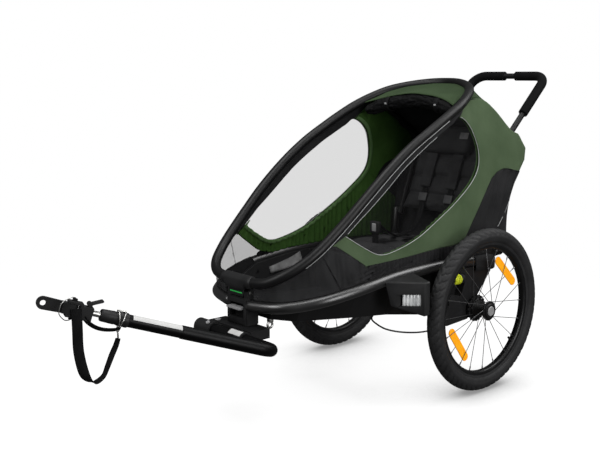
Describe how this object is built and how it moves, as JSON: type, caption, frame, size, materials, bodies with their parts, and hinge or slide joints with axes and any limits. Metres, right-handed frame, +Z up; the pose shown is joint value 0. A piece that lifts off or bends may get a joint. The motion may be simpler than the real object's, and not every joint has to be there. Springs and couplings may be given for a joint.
{
  "type": "child bicycle trailer",
  "caption": "Two-wheeled single-seat child bicycle trailer with a folding hoop frame, fabric cabin, sprung wheels, side tow arm with hitch and a tilting push handle.",
  "frame": {"origin": "on the ground under the middle of the overall length and width, leaving out the safety strap", "axes": "+X to the trailer's left, -Y to its front, +Z up"},
  "size_m": [0.702, 1.8749, 0.9679],
  "materials": {
    "amber_lens": "amber prismatic lens",
    "black_steel": "black oxide",
    "black_webbing": "black webbing",
    "brake_plastic": "black",
    "cable_sheath": "black cable sheath",
    "cap_silver": "silver grey",
    "clear_lens": "clear prismatic lens",
    "cover_fabric": "black ripstop",
    "gloss_black_paint": "gloss black powder coat",
    "green_fabric": "woven polyester",
    "grip_foam": "matt foam",
    "hub_black": "black",
    "lime_elastomer": "lime elastomer",
    "matte_black_plastic": "fine-grained black plastic",
    "pale_grey_plastic": "pale grey plastic",
    "rim_black": "black anodised",
    "satin_black_paint": "satin black powder coat",
    "seat_fabric": "padded black polyester",
    "tub_plastic": "grained black plastic",
    "tyre_rubber": "black rubber",
    "window_mesh": "fine dark see-through mesh",
    "zinc_steel": "bright zinc"
  },
  "bodies": {
    "chassis": {"arm_receiver": "matte_black_plastic", "brake_cable_left": "cable_sheath", "brake_cable_right": "cable_sheath", "elastomer_left": "lime_elastomer", "elastomer_right": "lime_elastomer", "fender_left": "matte_black_plastic", "fender_right": "matte_black_plastic", "floor_tub": "tub_plastic", "fold_pin": "zinc_steel", "front_block": "matte_black_plastic", "front_reflector_left": "clear_lens", "front_reflector_right": "clear_lens", "lower_frame_tube": "gloss_black_paint", "seat_cushion": "seat_fabric", "wheel_bracket_left": "matte_black_plastic", "wheel_bracket_right": "matte_black_plastic"},
    "brake_pedal": {"brake_pedal": "matte_black_plastic"},
    "wheel_left": {"brake_ring_left": "brake_plastic", "hub_left": "hub_black", "rim_left": "rim_black", "tyre_left": "tyre_rubber", "wheel_reflector_lower_left": "amber_lens", "wheel_reflector_upper_left": "amber_lens"},
    "wheel_right": {"brake_ring_right": "brake_plastic", "hub_right": "hub_black", "rim_right": "rim_black", "tyre_right": "tyre_rubber", "wheel_reflector_lower_right": "amber_lens", "wheel_reflector_upper_right": "amber_lens"},
    "upper_frame": {"canopy_left": "green_fabric", "canopy_right": "green_fabric", "hoop_clamp": "matte_black_plastic", "hoop_frame": "satin_black_paint", "rear_panel": "green_fabric", "rolled_cover": "cover_fabric", "roof_panel": "green_fabric", "roof_visor": "green_fabric", "window_left": "window_mesh", "window_right": "window_mesh"},
    "handlebar": {"grip_left": "grip_foam", "grip_right": "grip_foam", "handlebar_tube": "satin_black_paint"},
    "hitch_eye": {"hitch_eye": "matte_black_plastic"},
    "hitch_swivel": {"hitch_knuckle": "matte_black_plastic", "hitch_pin": "black_steel", "hitch_shaft": "zinc_steel"},
    "tow_arm": {"hitch_socket": "matte_black_plastic", "safety_strap": "black_webbing", "snap_hook": "zinc_steel", "tow_arm_front_tube": "gloss_black_paint", "tow_arm_tube": "gloss_black_paint"},
    "keeper_ring": {"keeper_ring": "zinc_steel"},
    "rear_frame": {"rear_strut_frame": "satin_black_paint", "seat_back": "seat_fabric"},
    "cap_left": {"release_cap_left": "cap_silver"},
    "cap_right": {"release_cap_right": "cap_silver"},
    "release_lever": {"release_lever": "pale_grey_plastic"},
    "suspension_left": {"trailing_arm_left": "matte_black_plastic"},
    "suspension_right": {"trailing_arm_right": "matte_black_plastic"},
    "wing_lever": {"wing_lever": "matte_black_plastic"}
  },
  "joints": [
    {"name": "fold", "type": "hinge", "parent": "chassis", "child": "upper_frame", "pos_m": [0, -0.30152, 0.358], "axis": [1, 0, 0], "range_deg": [-16, 0], "deforming": ["canopy_left", "canopy_right", "window_left", "window_right", "rear_panel"]},
    {"name": "rear_frame_fold", "type": "hinge", "parent": "chassis", "child": "rear_frame", "pos_m": [0, 0.55348, 0.485], "axis": [1, 0, 0], "range_deg": [0, 96]},
    {"name": "handlebar_tilt", "type": "hinge", "parent": "upper_frame", "child": "handlebar", "pos_m": [0, 0.68348, 0.725], "axis": [1, 0, 0], "range_deg": [-45, 40]},
    {"name": "tow_arm_swing", "type": "hinge", "parent": "chassis", "child": "tow_arm", "pos_m": [0, -0.35652, 0.245], "axis": [1, 0, 0], "range_deg": [-70, 20]},
    {"name": "hitch_swivel_turn", "type": "hinge", "parent": "tow_arm", "child": "hitch_swivel", "pos_m": [0.09582, -0.81612, 0.40199], "axis": [0.3061, 0.9009, -0.3077], "range_deg": [-90, 90], "deforming": ["safety_strap"]},
    {"name": "hitch_eye_turn", "type": "hinge", "parent": "hitch_swivel", "child": "hitch_eye", "pos_m": [0.08143, -0.85846, 0.41646], "axis": [0.099, 0.2914, 0.9515], "range_deg": [-18, 18]},
    {"name": "keeper_ring_swing", "type": "hinge", "parent": "hitch_swivel", "child": "keeper_ring", "pos_m": [0.08414, -0.85047, 0.44253], "axis": [-0.3061, -0.9009, 0.3077], "range_deg": [0, 90], "stiffness_Nm_per_rad": 0.02, "springref_deg": -17.19},
    {"name": "wing_lever_lift", "type": "hinge", "parent": "hitch_swivel", "child": "wing_lever", "pos_m": [0.09441, -0.82026, 0.42422], "axis": [0.9468, -0.3218, 0], "range_deg": [0, 70]},
    {"name": "release_lever_lift", "type": "hinge", "parent": "chassis", "child": "release_lever", "pos_m": [0, -0.30652, 0.314], "axis": [1, 0, 0], "range_deg": [-25, 0], "stiffness_Nm_per_rad": 0.2, "springref_deg": 17.19},
    {"name": "brake_pedal_press", "type": "hinge", "parent": "chassis", "child": "brake_pedal", "pos_m": [0, 0.54848, 0.378], "axis": [1, 0, 0], "range_deg": [-25, 0]},
    {"name": "suspension_left", "type": "hinge", "parent": "chassis", "child": "suspension_left", "pos_m": [0.242, 0.28348, 0.285], "axis": [1, 0, 0], "range_deg": [-4, 12], "stiffness_Nm_per_rad": 1500, "deforming": ["elastomer_left"]},
    {"name": "wheel_left_spin", "type": "hinge", "parent": "suspension_left", "child": "wheel_left", "pos_m": [0.3216, 0.38348, 0.25], "axis": [1, 0, 0], "continuous": true},
    {"name": "cap_left_press", "type": "slide", "parent": "wheel_left", "child": "cap_left", "axis": [-1, 0, 0], "range_m": [0, 0.003], "stiffness_N_per_m": 800, "springref_m": -0.002},
    {"name": "suspension_right", "type": "hinge", "parent": "chassis", "child": "suspension_right", "pos_m": [-0.242, 0.28348, 0.285], "axis": [1, 0, 0], "range_deg": [-4, 12], "stiffness_Nm_per_rad": 1500, "deforming": ["elastomer_right"]},
    {"name": "wheel_right_spin", "type": "hinge", "parent": "suspension_right", "child": "wheel_right", "pos_m": [-0.3216, 0.38348, 0.25], "axis": [1, 0, 0], "continuous": true},
    {"name": "cap_right_press", "type": "slide", "parent": "wheel_right", "child": "cap_right", "axis": [1, 0, 0], "range_m": [0, 0.003], "stiffness_N_per_m": 800, "springref_m": -0.002}
  ],
  "couplings": [
    {"joint": "rear_frame_fold", "follows": "fold", "ratio": -5.9375}
  ]
}
